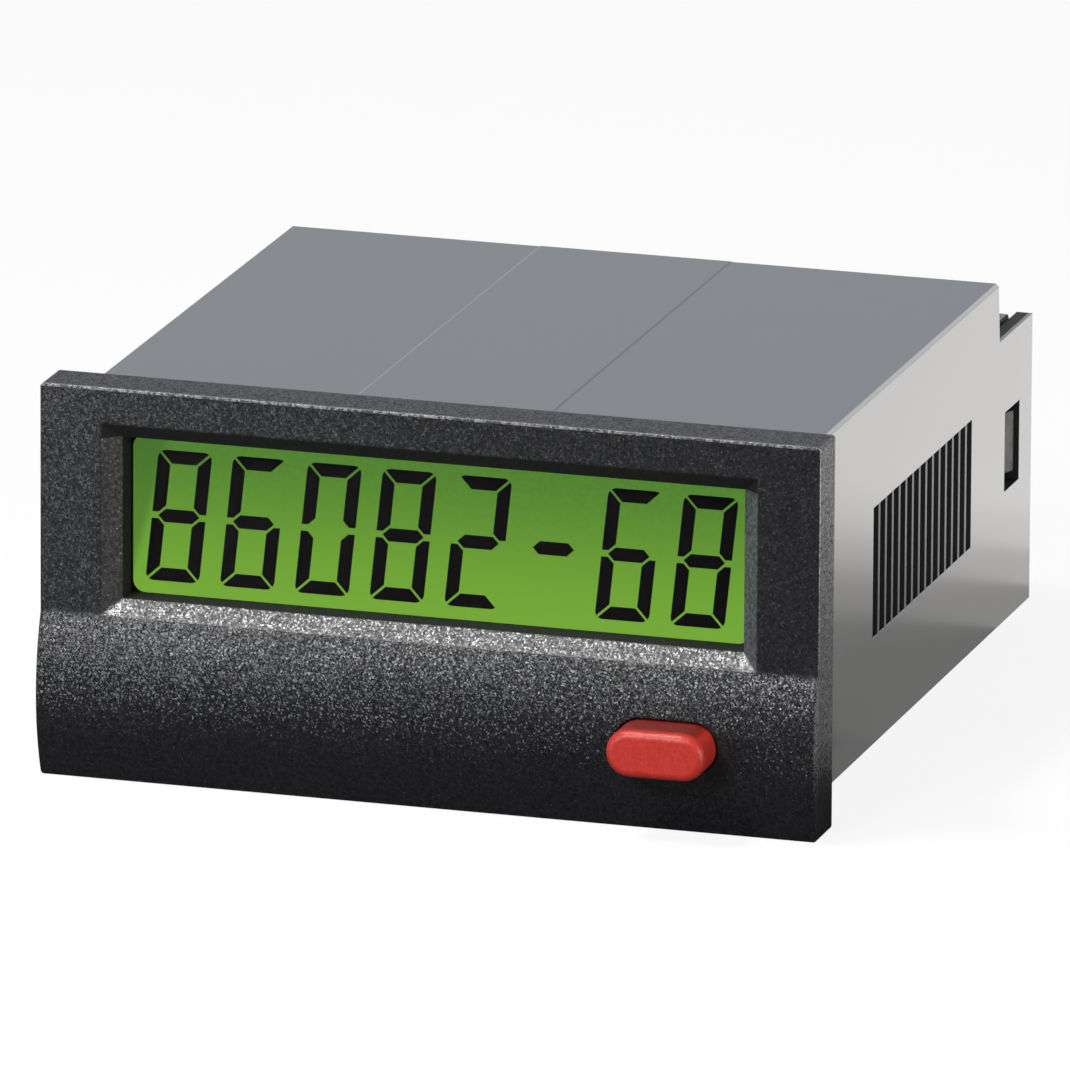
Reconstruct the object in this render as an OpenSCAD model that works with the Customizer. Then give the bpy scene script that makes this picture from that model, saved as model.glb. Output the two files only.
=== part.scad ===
// Panel hour meter, 48 x 24 mm front, eight-digit liquid crystal display, red reset button.
// X runs to the right as the front is read, +Y runs into the panel, +Z is up, in millimetres.
// The origin is the centre of the bezel's rear face, which is the plane of the panel's front.

/* [Bezel] */
// Width of the front bezel
bezel_w = 48; // [47:0.5:50]
// Height of the front bezel
bezel_h = 24; // [24:0.5:26]
// Thickness of the bezel's flange, from the panel to the flat front face
bezel_t = 3.2; // [3:0.1:4]
// Radius of the bezel's four corners
bezel_corner_r = 0.2; // [0.2:0.1:1]
// Height of the line where the flat front face meets the crowned lower band
band_top_z = -1.97; // [-2.1:0.01:-1.9]
// Height of the crowned band's lower edge
band_bottom_z = -11.9; // [-11.9:0.05:-11.6]
// How far the band's crown stands out from the flat front face
crown_rise = 0.93; // [0.4:0.01:1.1]

/* [Window] */
// Width of the bevelled window recess at the front face
window_w = 40.5; // [39:0.01:41]
// Height of the recess's top edge at the front face
window_top_z = 9.8; // [9.4:0.05:9.9]
// Width of the recess's upper and lower bevels, seen from the front
bevel_w = 0.93; // [0.6:0.01:1.1]
// Width of the recess's bevels at the left and right, seen from the front
bevel_side_w = 1.07; // [0.6:0.01:1.2]
// Depth of the recess's bevel
bevel_d = 0.95; // [0.7:0.05:1.2]
// Thickness of the clear window
window_t = 0.6; // [0.4:0.05:0.7]
// Width of black print that shows inside the window's left and right edges
mask_border = 0.1; // [0.05:0.01:0.4]
// Radius of the corners of the printed window mask
mask_corner_r = 0.75; // [0.2:0.05:0.8]

/* [Display] */
// What the eight places of the display show
reading = "86082-68"; // ["86082-68", "00000000", "12345678"]
// Height of a digit
digit_h = 8.05; // [7:0.05:8.2]
// Width of a digit
digit_w = 3.33; // [2.8:0.01:3.6]
// Distance from one digit to the next
digit_pitch = 4.64; // [4.4:0.01:4.7]
// Width of a segment's stroke
stroke = 0.8; // [0.5:0.05:0.9]
// Gap between neighbouring segments
segment_gap = 0.15; // [0.05:0.01:0.2]
// Lean of the digits from upright, in degrees
digit_slant = 5.9; // [0:0.1:10]
// Height of the digits' middle above the origin
digit_mid_z = 3.6; // [3.5:0.05:4.1]
// Radius of the digits' four outer corners
digit_corner_r = 0.5; // [0.1:0.05:0.5]
// Thickness of each of the display's two glass plates
glass_t = 0.55; // [0.4:0.05:0.7]

/* [Button] */
// Width of the reset button
button_w = 6.1; // [5:0.1:7]
// Height of the reset button
button_h = 2.9; // [2.6:0.1:3.2]
// Sideways place of the button's centre
button_x = 15; // [10:0.05:18]
// Height of the button's centre
button_z = -6.65; // [-6.9:0.05:-6.5]
// How far the button's face stands out from the flat front face
button_out = 3.4; // [2:0.1:4]
// Rounding of the button's front edge
button_edge_r = 0.5; // [0.1:0.05:0.6]
// Gap between the button and its slot, all round
button_gap = 0.12; // [0.08:0.01:0.2]
// Travel of the button from rest until the switch bottoms
button_travel = 0.6; // [0.3:0.05:0.7]

/* [Sleeve] */
// Width of the sleeve that passes through the panel
sleeve_w = 45; // [44.6:0.1:45]
// Height of the sleeve
sleeve_h = 21.9; // [21.8:0.1:22.1]
// Thickness of the sleeve's walls
wall = 1; // [0.9:0.05:1.1]
// Depth of the sleeve's side and bottom walls behind the panel plane
sleeve_d = 48.4; // [48:0.1:50]
// Depth of the top wall, which stops short so that the screws can be reached
top_wall_d = 40.7; // [40:0.1:41]
// Height of the side walls behind the end of the top wall
cheek_top_z = 7.2; // [7:0.05:8]
// Width of the chamfer along the sleeve's four long edges
sleeve_chamfer = 0.2; // [0.1:0.05:0.6]
// Number of vent slots in each side wall
vent_count = 15; // [5:1:16]
// Distance from one vent slot to the next
vent_pitch = 1.45; // [1.3:0.01:1.5]
// Width of a vent slot
vent_slot = 1.07; // [0.6:0.01:1.1]
// Height of a vent slot
vent_h = 8; // [6:0.05:9]
// Depth of the first vent slot's front edge
vent_front_y = 13.6; // [12:0.05:14]
// Height of the vent slots' middle
vent_mid_z = -0.1; // [-1:0.05:1]

/* [Terminals] */
// Number of screw terminals
pole_count = 8; // [2:1:8]
// Distance from one terminal to the next
pole_pitch = 5.08; // [5:0.01:5.08]
// Radius of a terminal screw's head
screw_head_r = 1.7; // [1.4:0.05:1.75]
// Radius of the holes in the rear cover that the screwdriver passes through
access_r = 1.9; // [1.8:0.05:2]

/* [Battery] */
// Diameter of the lithium cell
battery_dia = 14.4; // [13:0.1:14.6]
// Length of the lithium cell
battery_l = 25; // [20:0.5:26]

/* [Hidden] */

$fn = 64;
over = 0.5;
play = 0.05;

// Front of the housing, from the flat face inwards
front_y = -bezel_t;
crown_half = (band_top_z - band_bottom_z) / 2;
crown_mid_z = (band_top_z + band_bottom_z) / 2;
crown_r = (pow(crown_half, 2) + pow(crown_rise, 2)) / (2 * crown_rise);
crown_y = front_y - crown_rise + crown_r;
bevel_y = front_y + bevel_d;
front_wall_y = -0.65;
opening_w = window_w - 2 * bevel_side_w;
opening_top_z = window_top_z - bevel_w;
opening_bottom_z = band_top_z + bevel_w;
opening_h = opening_top_z - opening_bottom_z;
opening_mid_z = (opening_top_z + opening_bottom_z) / 2;
bay_y = -1.9;
bay_top_z = -4.4;
bay_w = 42;

// Inside of the sleeve
cavity_w = sleeve_w - 2 * wall;
cavity_h = sleeve_h - 2 * wall;
cavity_x = cavity_w / 2;
cavity_z = cavity_h / 2;
notch_slope = 0.35;
field_x = [-6.5, 5.6];
field_rise = 0.03;
field_edge_w = 0.15;
latch_window_y = [42.4, 45.65];
latch_window_z = [-2.55, 2.45];
rail_y = [8, 39];
rail_w = 0.9;

// Display stack, from the mask backwards
mask_t = 0.08;
mask_z = [opening_bottom_z, opening_top_z - 0.25];
cell_gap = 0.1;
cell_air = 0.04;
film_air = 0.02;
film_t = 0.2;
foil_t = 0.1;
glass_x = 20.9;
rear_glass_x = 20.6;
glass_top_z = 9.75;
front_glass_bottom_z = -4.0;
rear_glass_z = [-1.9, 9.6];
mask_y = front_wall_y;
front_glass_y = mask_y + mask_t;
cell_y = front_glass_y + glass_t;
rear_glass_y = cell_y + cell_gap;
film_y = rear_glass_y + glass_t;
guide_y = film_y + film_t;
board_y = 2.9;
foil_y = board_y - foil_t;
board_t = 1.0;
board_back_y = board_y + board_t;
guide_x = 20.1;
seal_w = 0.5;
digit_mid_x = -0.2;
frame_x = 21.4;
frame_bottom_z = -4.35;
frame_inner_x = 21.05;
frame_inner_z = [-1.95, 9.65];
zebra_x = 19.4;
zebra_z = [-3.7, -2.5];
led_x = [20.2, 20.95];
led_mid_z = [1.4, 6.3];
led_h = 1.8;

// Reset button and its switch
button_tip_y = front_y - button_out;
button_flange_y = bay_y + play;
button_flange_t = 0.8;
button_flange_out = 0.62;
switch_front_y = 1.3;
switch_nose = 0.15;
plunger_r = 0.8;
plunger_clear = 0.08;
plunger_y = switch_front_y - switch_nose - button_travel - 2 * play;
plunger_end_y = 1.95;

// Main board and what stands on it
main_top_z = -7.55;
main_t = 1.2;
main_y = [4.0, 46.3];
main_x = 21.2;
tail_x = 20.4;
tail_y = 39.4;
header_x = 8;
header_count = 12;
header_pitch = 1.27;

// Lithium cell
battery_r = battery_dia / 2;
battery_mid_y = 17.5;
battery_mid_z = main_top_z + 0.3 + battery_r;

// Terminals and rear cover
block_x = pole_count * pole_pitch / 2;
block_y = [39.5, 46.4];
block_z = [main_top_z, 6.75];
screw_y = 43.4;
chamber_x = 2.0;
chamber_y = 39.95;
chamber_z = [-5.0, 2.4];
cover_x = 21.35;
cover_y = [40.0, 47.3];
cover_upstand_y = [40.0, 40.6];
cover_upstand_z = 9.85;
cover_z = [-9.8, 7.5];
cover_wall = 0.7;
cover_corner_r = 0.8;
arm_z = [-2.0, 1.8];
latch_out = 0.85;
latch_y = [43.6, 45.5];
entry_w = 3.6;
entry_z = [-3.9, -0.4];
clamp_x = 1.9;
clamp_y = [41.2, 45.8];
clamp_z = [-4.6, 2.2];
blade_z = [-0.2, 0.3];
pin_y = 40.3;

function pole_x(i) = (i - (pole_count - 1) / 2) * pole_pitch;

// A block given by its low and high values along each axis
module block(x, y, z) {
    translate([x[0], y[0], z[0]])
        cube([x[1] - x[0], y[1] - y[0], z[1] - z[0]]);
}

// Extrudes an outline drawn in X and Z along Y
module along_y(y0, y1) {
    translate([0, y1, 0])
        rotate([90, 0, 0])
            linear_extrude(y1 - y0)
                children();
}

// Extrudes an outline drawn in Y and Z along X
module along_x(x0, x1) {
    translate([x0, 0, 0])
        rotate([90, 0, 90])
            linear_extrude(x1 - x0)
                children();
}

module mirrored_x() {
    children();
    mirror([1, 0, 0]) children();
}

// A rectangle with round corners
module round_rect(w, h, r) {
    square([w - 2 * r, h], center = true);
    square([w, h - 2 * r], center = true);
    for (sx = [-1, 1], sz = [-1, 1])
        translate([sx * (w / 2 - r), sz * (h / 2 - r)])
            circle(r);
}

// A rectangle with cut corners
module chamfered_rect(w, h, c) {
    polygon([
        [c - w / 2, -h / 2], [w / 2 - c, -h / 2], [w / 2, c - h / 2], [w / 2, h / 2 - c],
        [w / 2 - c, h / 2], [c - w / 2, h / 2], [-w / 2, h / 2 - c], [-w / 2, c - h / 2]
    ]);
}

// The outline of a pill, lying along X
module pill_outline(w, h) {
    square([w - h, h], center = true);
    for (sx = [-1, 1])
        translate([sx * (w - h) / 2, 0])
            circle(h / 2);
}

// Half of a button's section: a bar with a rounded outer corner at its tip
module tip_profile(half, length, r) {
    square([half - r, length]);
    square([half, length - r]);
    translate([half - r, length - r]) circle(r);
}

// A pill-shaped button standing along Z, with a rounded edge round its tip
module pill_button(w, h, length, r) {
    straight = w - h;
    for (sx = [-1, 1])
        translate([sx * straight / 2, 0, 0])
            rotate_extrude()
                tip_profile(h / 2, length, r);
    translate([-straight / 2, 0, 0])
        rotate([90, 0, 90])
            linear_extrude(straight)
                mirrored_x()
                    tip_profile(h / 2, length, r);
}

// The tapering part of an opening: wide at y0, narrow at y1, with flat sloping sides. The
// taper is the width of the side slopes, then that of the upper and lower ones.
module bevel_recess(half_x, z_range, taper, y0, y1) {
    intersection() {
        translate([0, 0, z_range[0]])
            linear_extrude(z_range[1] - z_range[0])
                polygon([
                    [-half_x, y0], [half_x, y0],
                    [half_x - taper[0], y1], [taper[0] - half_x, y1]
                ]);
        along_x(-half_x, half_x)
            polygon([
                [y0, z_range[0]], [y1, z_range[0] + taper[1]],
                [y1, z_range[1] - taper[1]], [y0, z_range[1]]
            ]);
    }
}

// Bezel: a flat flange with the crowned band across its lower half
module bezel_solid() {
    along_y(front_y, 0)
        round_rect(bezel_w, bezel_h, bezel_corner_r);
    intersection() {
        translate([-bezel_w / 2, crown_y, crown_mid_z])
            rotate([0, 90, 0])
                cylinder(r = crown_r, h = bezel_w, $fn = 180);
        along_y(front_y - 2 * crown_rise, front_y)
            round_rect(bezel_w, bezel_h, bezel_corner_r);
        block([-bezel_w, bezel_w], [front_y - 2 * crown_rise, front_y],
            [band_bottom_z, band_top_z]);
    }
}

// Window opening: bevel, then a straight throat that the clear window sits in
module window_cut() {
    bevel_recess(window_w / 2, [band_top_z, window_top_z], [bevel_side_w, bevel_w],
        front_y, bevel_y);
    block([-opening_w / 2, opening_w / 2], [bevel_y - play, front_wall_y + over],
        [opening_bottom_z, opening_top_z]);
}

module button_slot() {
    translate([button_x, 0, button_z])
        along_y(front_y - 2 * crown_rise, front_wall_y)
            pill_outline(button_w + 2 * button_gap, button_h + 2 * button_gap);
}

// Vent grille in the right-hand wall
module vent_slots() {
    for (i = [0 : vent_count - 1])
        block([cavity_x - over, sleeve_w / 2 + over],
            [vent_front_y + i * vent_pitch, vent_front_y + i * vent_pitch + vent_slot],
            [vent_mid_z - vent_h / 2, vent_mid_z + vent_h / 2]);
}

// Open step at the rear, above the terminals
module rear_notch() {
    along_x(-bezel_w / 2, bezel_w / 2)
        polygon([
            [top_wall_d, sleeve_h], [top_wall_d, sleeve_h / 2],
            [top_wall_d + notch_slope, cheek_top_z],
            [sleeve_d + over, cheek_top_z], [sleeve_d + over, sleeve_h]
        ]);
}

// Slightly raised field along the top of the sleeve, where the mould has an insert
module top_field() {
    top = sleeve_h / 2;
    half = field_edge_w / 2;
    along_y(-over, top_wall_d)
        polygon([
            [field_x[0] - half, top - over], [field_x[0] - half, top],
            [field_x[0] + half, top + field_rise], [field_x[1] - half, top + field_rise],
            [field_x[1] + half, top], [field_x[1] + half, top - over]
        ]);
}

// Two rails on each inner side wall, which hold the main board between them
module board_rails() {
    mirrored_x() {
        block([cavity_x - rail_w, cavity_x + wall / 2], rail_y,
            [-cavity_z - wall / 2, main_top_z - main_t - 2 * play]);
        block([cavity_x - rail_w, cavity_x + wall / 2], rail_y,
            [main_top_z + 2 * play, main_top_z + rail_w]);
    }
}

module housing() {
    color([0.17, 0.17, 0.18])
    union() {
        difference() {
            union() {
                bezel_solid();
                along_y(-over, sleeve_d)
                    chamfered_rect(sleeve_w, sleeve_h, sleeve_chamfer);
                top_field();
            }
            block([-cavity_x, cavity_x], [front_wall_y, sleeve_d + over],
                [-cavity_z, cavity_z]);
            block([-bay_w / 2, bay_w / 2], [bay_y, front_wall_y + over],
                [-cavity_z, bay_top_z]);
            window_cut();
            button_slot();
            mirrored_x() {
                vent_slots();
                block([cavity_x - over, sleeve_w / 2 + over], latch_window_y, latch_window_z);
            }
            rear_notch();
        }
        board_rails();
    }
}

module window_lens() {
    color([0.8, 0.85, 0.85, 0.35])
    block([play - opening_w / 2, opening_w / 2 - play],
        [front_wall_y - window_t, front_wall_y],
        [opening_bottom_z + play, opening_top_z - play]);
}

// Black printed foil whose opening frames the lit area
module window_mask() {
    color([0.05, 0.05, 0.05])
    difference() {
        block([-glass_x, glass_x], [mask_y, mask_y + mask_t],
            [front_glass_bottom_z, glass_top_z]);
        translate([0, 0, (mask_z[0] + mask_z[1]) / 2])
            along_y(mask_y - over, mask_y + over)
                round_rect(opening_w - 2 * mask_border, mask_z[1] - mask_z[0], mask_corner_r);
    }
}

module lcd_front_glass() {
    color([0.8, 0.9, 0.8, 0.35])
    block([-glass_x, glass_x], [front_glass_y, cell_y], [front_glass_bottom_z, glass_top_z]);
}

module lcd_rear_glass() {
    color([0.8, 0.9, 0.8, 0.35])
    block([-rear_glass_x, rear_glass_x], [rear_glass_y, film_y], rear_glass_z);
}

// Seal round the edge of the cell, between the two glass plates
module lcd_edge_seal() {
    color([0.2, 0.2, 0.2])
    difference() {
        block([-rear_glass_x, rear_glass_x], [cell_y, rear_glass_y], rear_glass_z);
        block([seal_w - rear_glass_x, rear_glass_x - seal_w],
            [cell_y - over, rear_glass_y + over],
            [rear_glass_z[0] + seal_w, rear_glass_z[1] - seal_w]);
    }
}

// Which of the segments a to g each character lights
CHARACTERS = [["0", "abcdef"], ["1", "bc"], ["2", "abdeg"], ["3", "abcdg"], ["4", "bcfg"],
    ["5", "acdfg"], ["6", "acdefg"], ["7", "abc"], ["8", "abcdefg"], ["9", "abcdfg"],
    ["-", "g"]];

function lit(character) = [for (entry = CHARACTERS) if (entry[0] == character) entry[1]][0];

function leaned(points) = [for (p = points) [p[0] + p[1] * tan(digit_slant), p[1]]];

// Outlines of a digit's segments, about the digit's middle, before the lean. The corners are
// mitred at 45 degrees. The middle bar ends in points on the side bars' middle lines, and the
// side bars are cut square across their outer half.
half_w = digit_w / 2;
half_h = digit_h / 2;
mitre = segment_gap / sqrt(2);
point_rise = 2 * mitre;
corner_turn = asin(mitre / (sqrt(2) * digit_corner_r));

// The rounded corner at the upper left, as distances from the digit's left and top edges
function corner_arc(from, to) = [for (k = [0 : 4])
    let (turn = from + (to - from) * k / 4)
        [digit_corner_r * (1 - cos(turn)), digit_corner_r * (1 - sin(turn))]];

end_arc = [for (p = corner_arc(45 + corner_turn, 90)) [p[0] - half_w, half_h - p[1]]];
end_bar = concat(end_arc,
    [for (k = [len(end_arc) - 1 : -1 : 0]) [-end_arc[k][0], end_arc[k][1]]],
    [[half_w - stroke - mitre, half_h - stroke], [stroke + mitre - half_w, half_h - stroke]]);
middle_bar = [
    [stroke / 2 - half_w, 0], [stroke - half_w, stroke / 2],
    [half_w - stroke, stroke / 2], [half_w - stroke / 2, 0],
    [half_w - stroke, -stroke / 2], [stroke - half_w, -stroke / 2]
];
side_bar = concat(
    [for (p = corner_arc(45 - corner_turn, 0)) [p[0] - half_w, half_h - p[1]]],
    [[-half_w, point_rise], [stroke / 2 - half_w, point_rise],
    [stroke - half_w, stroke / 2 + point_rise],
    [stroke - half_w, half_h - stroke - mitre]]);

function flipped(points, fx, fz) = [for (p = points) [fx * p[0], fz * p[1]]];

function segment_outline(letter) =
    letter == "a" ? end_bar :
    letter == "d" ? flipped(end_bar, 1, -1) :
    letter == "g" ? middle_bar :
    letter == "f" ? side_bar :
    letter == "b" ? flipped(side_bar, -1, 1) :
    letter == "e" ? flipped(side_bar, 1, -1) :
    flipped(side_bar, -1, -1);

// One thin plate for each lit segment
module lcd_segments() {
    color([0.09, 0.08, 0.09])
    for (place = [0 : len(reading) - 1])
        translate([digit_mid_x + (place - (len(reading) - 1) / 2) * digit_pitch, 0, digit_mid_z])
            for (letter = lit(reading[place]))
                along_y(cell_y + cell_air, rear_glass_y)
                    polygon(leaned(segment_outline(letter)));
}

module diffuser_film() {
    color([0.4, 0.68, 0.18])
    block([-rear_glass_x, rear_glass_x], [film_y + film_air, guide_y], rear_glass_z);
}

// Acrylic plate that spreads the light of the side lamps
module light_guide() {
    color([0.75, 0.9, 0.75, 0.6])
    block([-guide_x, guide_x], [guide_y, foil_y], rear_glass_z);
}

module reflector_foil() {
    color([0.92, 0.92, 0.92])
    block([-guide_x, guide_x], [foil_y, board_y], rear_glass_z);
}

module backlight_leds() {
    color([0.6, 0.85, 0.3])
    mirrored_x()
        for (z = led_mid_z)
            difference() {
                block(led_x, [guide_y + play, board_y], [z - led_h / 2, z + led_h / 2]);
                translate([led_x[0] - play, (guide_y + board_y) / 2, z])
                    rotate([0, 90, 0])
                        cylinder(r = led_h / 4, h = 3 * play);
            }
}

// Frame that carries the glass, the light guide and the contact strip
module display_frame() {
    color([0.9, 0.9, 0.88])
    difference() {
        block([-frame_x, frame_x], [cell_y + play, board_y], [frame_bottom_z, glass_top_z + play]);
        block([-frame_inner_x, frame_inner_x], [cell_y - over, board_y + over], frame_inner_z);
        block([-zebra_x - play, zebra_x + play], [cell_y - over, board_y + over],
            [zebra_z[0] - play, zebra_z[1] + play]);
    }
}

// Layered rubber strip that joins the front glass's contacts to the display board
module zebra_strip() {
    color([0.35, 0.35, 0.37])
    block([-zebra_x, zebra_x], [cell_y, board_y], zebra_z);
}

module display_board() {
    color([0.1, 0.35, 0.2])
    difference() {
        block([-main_x, main_x], [board_y, board_back_y], [-9.7, 9.8]);
        for (i = [0 : header_count - 1])
            translate([(i - (header_count - 1) / 2) * header_pitch, board_y - over, -5.4])
                rotate([-90, 0, 0])
                    cylinder(r = 0.4, h = board_t + 2 * over);
    }
}

// Flat-pack chip on the rear of the display board, with its rows of leads
module controller_chip() {
    body = 10;
    thick = 1.4;
    lead_count = 12;
    lead_pitch = 0.75;
    lead_w = 0.3;
    lead_out = 1.0;
    lead_t = 0.15;
    centre = [-4, 2.6];
    color([0.08, 0.08, 0.09])
    translate([centre[0], board_back_y, centre[1]])
        union() {
            block([-body / 2, body / 2], [0.1, thick], [-body / 2, body / 2]);
            for (turn = [0 : 90 : 270], i = [0 : lead_count - 1])
                rotate([0, turn, 0])
                    translate([(i - (lead_count - 1) / 2) * lead_pitch, 0, body / 2]) {
                        block([-lead_w / 2, lead_w / 2], [thick / 2 - lead_t, thick / 2],
                            [-lead_t, lead_out / 2]);
                        block([-lead_w / 2, lead_w / 2], [0, thick / 2],
                            [lead_out / 2 - lead_t, lead_out / 2]);
                        block([-lead_w / 2, lead_w / 2], [0, lead_t],
                            [lead_out / 2 - lead_t, lead_out]);
                    }
        }
}

// Small can of the clock crystal, lying on the rear of the display board
module quartz_crystal() {
    can_r = 1.0;
    can_l = 6;
    color([0.75, 0.75, 0.77])
    translate([9, board_back_y + can_r, 6])
        rotate([0, 90, 0]) {
            cylinder(r = can_r, h = can_l);
            translate([0, 0, -0.4]) cylinder(r = can_r * 0.85, h = 0.5);
        }
}

module switch_body() {
    color([0.12, 0.12, 0.13])
    difference() {
        union() {
            block([button_x - 3, button_x + 3], [switch_front_y, board_y],
                [button_z - 1.75, button_z + 1.75]);
            translate([button_x, switch_front_y - switch_nose, button_z])
                rotate([-90, 0, 0])
                    cylinder(r = 1.4, h = 2 * switch_nose);
        }
        translate([button_x, switch_front_y - over, button_z])
            rotate([-90, 0, 0])
                cylinder(r = plunger_r + plunger_clear,
                    h = over + plunger_end_y + button_travel + play - switch_front_y);
    }
}

module switch_plunger() {
    color([0.85, 0.83, 0.78])
    translate([button_x, plunger_y, button_z])
        rotate([-90, 0, 0])
            cylinder(r = plunger_r, h = plunger_end_y - plunger_y);
}

// Moulded push button: cap, retaining flange and the stem that meets the switch
module reset_button() {
    color([0.82, 0.2, 0.16])
    translate([button_x, 0, button_z])
        union() {
            translate([0, button_flange_y + button_flange_t, 0])
                rotate([90, 0, 0])
                    pill_button(button_w, button_h,
                        button_flange_y + button_flange_t - button_tip_y, button_edge_r);
            along_y(button_flange_y, button_flange_y + button_flange_t)
                pill_outline(button_w + 2 * button_flange_out, button_h + 2 * button_flange_out);
            along_y(button_flange_y, plunger_y)
                pill_outline(3, 1.6);
        }
}

// Pin strip that joins the two boards
module board_header() {
    color([0.07, 0.07, 0.08])
    block([-header_x, header_x], [board_back_y, board_back_y + 2.5],
        [main_top_z, main_top_z + 2.6]);
}

module header_pins() {
    pin = 0.2;
    color([0.78, 0.66, 0.35])
    for (i = [0 : header_count - 1])
        translate([(i - (header_count - 1) / 2) * header_pitch, 0, 0]) {
            block([-pin, pin], [board_y - 0.3, board_back_y], [-5.4 - pin, -5.4 + pin]);
            block([-pin, pin], [board_back_y + 2.5, board_back_y + 3.1],
                [main_top_z, main_top_z + 0.15]);
            block([-pin, pin], [board_back_y + 2.5, board_back_y + 2.7],
                [main_top_z, main_top_z + 1.2]);
        }
}

// Main board: wide along the sleeve, narrower where it enters the rear cover
module main_board() {
    color([0.1, 0.35, 0.2])
    difference() {
        translate([0, 0, main_top_z - main_t])
            linear_extrude(main_t)
                polygon([
                    [-main_x, main_y[0]], [main_x, main_y[0]], [main_x, tail_y],
                    [tail_x, tail_y], [tail_x, main_y[1]], [-tail_x, main_y[1]],
                    [-tail_x, tail_y], [-main_x, tail_y]
                ]);
        for (i = [0 : pole_count - 1])
            translate([pole_x(i), pin_y, main_top_z - main_t - over])
                cylinder(r = 0.75, h = main_t + 2 * over);
    }
}

module input_resistors() {
    body_r = 1.1;
    color([0.35, 0.5, 0.62])
    for (x = [-4.5, -1.5, 1.5, 4.5])
        translate([x, 28.5, main_top_z + body_r])
            rotate([-90, 0, 0]) {
                cylinder(r = body_r * 0.85, h = 7);
                cylinder(r = body_r, h = 1.4);
                translate([0, 0, 5.6]) cylinder(r = body_r, h = 1.4);
            }
}

module input_optocoupler() {
    color([0.9, 0.9, 0.86])
    difference() {
        block([8, 12.6], [28.5, 35], [main_top_z, main_top_z + 3.4]);
        translate([9.2, 29.7, main_top_z + 3.2]) cylinder(r = 0.5, h = 0.4);
    }
}

module filter_capacitors() {
    can_r = 3.1;
    can_h = 9;
    groove = 0.25;
    color([0.12, 0.16, 0.3])
    for (x = [-16, -9])
        translate([x, 32, main_top_z])
            rotate_extrude()
                polygon([
                    [0, 0], [can_r, 0], [can_r, 1.2], [can_r - groove, 1.5],
                    [can_r - groove, 1.9], [can_r, 2.2], [can_r, can_h - groove],
                    [can_r - groove, can_h], [0, can_h]
                ]);
}

// Lithium cell lying across the housing: can, rolled shoulder and raised pole
module battery() {
    shoulder = 0.6;
    color([0.16, 0.2, 0.45])
    translate([-battery_l / 2, battery_mid_y, battery_mid_z])
        rotate([0, 90, 0])
            rotate_extrude()
                polygon([
                    [0, 0], [battery_r - shoulder, 0], [battery_r, shoulder],
                    [battery_r, battery_l - 3 * shoulder],
                    [battery_r - shoulder / 2, battery_l - 2 * shoulder],
                    [battery_r - shoulder, battery_l - 1.2], [2.6, battery_l - 1.2],
                    [2.6, battery_l], [0, battery_l]
                ]);
}

// Solder tabs from the cell's two poles down to the main board
module battery_tabs() {
    tab_t = 0.2;
    tab_w = 4;
    color([0.75, 0.75, 0.75])
    mirrored_x() {
        block([battery_l / 2, battery_l / 2 + tab_t],
            [battery_mid_y - tab_w / 2, battery_mid_y + tab_w / 2],
            [main_top_z, battery_mid_z + tab_w / 2]);
        block([battery_l / 2, battery_l / 2 + 2.5],
            [battery_mid_y - tab_w / 2, battery_mid_y + tab_w / 2],
            [main_top_z, main_top_z + tab_t]);
    }
}

// Terminal block: one chamber per pole, open to the rear, with a screw shaft above it
module terminal_block() {
    color([0.15, 0.16, 0.16])
    difference() {
        block([-block_x, block_x], block_y, block_z);
        for (i = [0 : pole_count - 1])
            translate([pole_x(i), 0, 0]) {
                block([-chamber_x, chamber_x], [chamber_y, block_y[1] + over], chamber_z);
                translate([0, screw_y, chamber_z[1] - over])
                    cylinder(r = screw_head_r + 0.15, h = block_z[1] - chamber_z[1] + 2 * over);
                block([-0.6, 0.6], [chamber_y, chamber_y + 0.7],
                    [block_z[0] - over, chamber_z[0] + over]);
            }
    }
}

// Rising cages that grip the wires
module wire_clamps() {
    color([0.78, 0.62, 0.3])
    for (i = [0 : pole_count - 1])
        translate([pole_x(i), 0, 0])
            difference() {
                block([-clamp_x, clamp_x], clamp_y, clamp_z);
                block([-1.4, 1.4], [clamp_y[0] - over, clamp_y[1] + over], [-3.9, 0.8]);
                translate([0, screw_y, 0]) cylinder(r = 1.3, h = clamp_z[1] + over);
            }
}

// Slotted cheese-head screws, one per pole
module terminal_screws() {
    head_z = [4.7, 6.3];
    color([0.8, 0.8, 0.82])
    for (i = [0 : pole_count - 1])
        translate([pole_x(i), screw_y, 0])
            difference() {
                union() {
                    translate([0, 0, head_z[0]])
                        cylinder(r = screw_head_r, h = head_z[1] - head_z[0]);
                    translate([0, 0, blade_z[1] + play])
                        cylinder(r = 1.25, h = head_z[0] - blade_z[1]);
                }
                block([-0.3, 0.3], [-2, 2], [head_z[1] - 0.8, head_z[1] + over]);
            }
}

// Contact blade inside each cage, with the pin that is soldered to the board
module terminal_pins() {
    color([0.8, 0.78, 0.7])
    for (i = [0 : pole_count - 1])
        translate([pole_x(i), 0, 0]) {
            block([-1.2, 1.2], [pin_y - 0.3, 45.2], blade_z);
            block([-0.5, 0.5], [pin_y - 0.3, pin_y + 0.25],
                [main_top_z - main_t - 0.25, blade_z[1]]);
        }
}

// Snap hook on the cover's side arm: a ramp that ends in a square catch face
module latch_hook() {
    translate([0, 0, arm_z[0]])
        linear_extrude(arm_z[1] - arm_z[0])
            polygon([
                [cover_x - cover_wall / 2, latch_y[0]], [cover_x, latch_y[0]],
                [cover_x + latch_out, latch_y[1]], [cover_x - cover_wall / 2, latch_y[1]]
            ]);
}

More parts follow.
